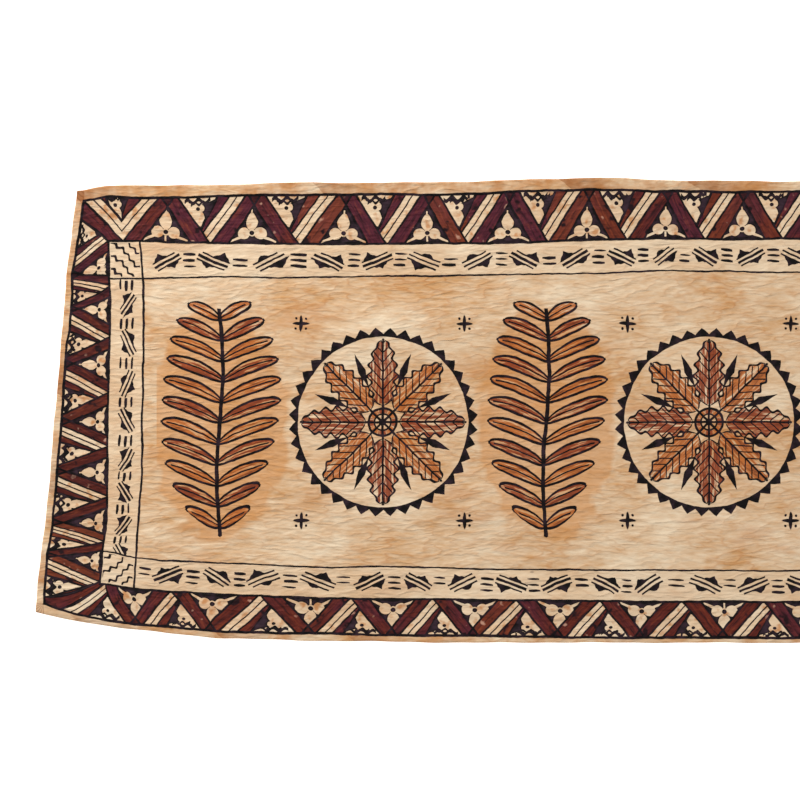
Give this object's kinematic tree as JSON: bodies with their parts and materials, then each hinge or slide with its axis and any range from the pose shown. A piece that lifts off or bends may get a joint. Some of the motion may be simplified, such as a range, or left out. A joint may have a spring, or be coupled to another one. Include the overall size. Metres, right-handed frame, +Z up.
{
  "type": "tapa bark cloth",
  "caption": "Long felted bark cloth laid flat, with turned edges, a painted geometric border and a painted field.",
  "frame": {"origin": "under the middle of the cloth's length and width, on the surface that it lies on", "axes": "+X along the cloth's length, +Y across it to the edge with the turned corner at the left, +Z up out of the painted side"},
  "size_m": [1.7482, 0.6046, 0.0089],
  "materials": {
    "bark_cloth": "matt felted bark, tan ground painted in black, maroon and rust"
  },
  "bodies": {
    "root": {"bark_cloth": "bark_cloth"}
  },
  "joints": []
}
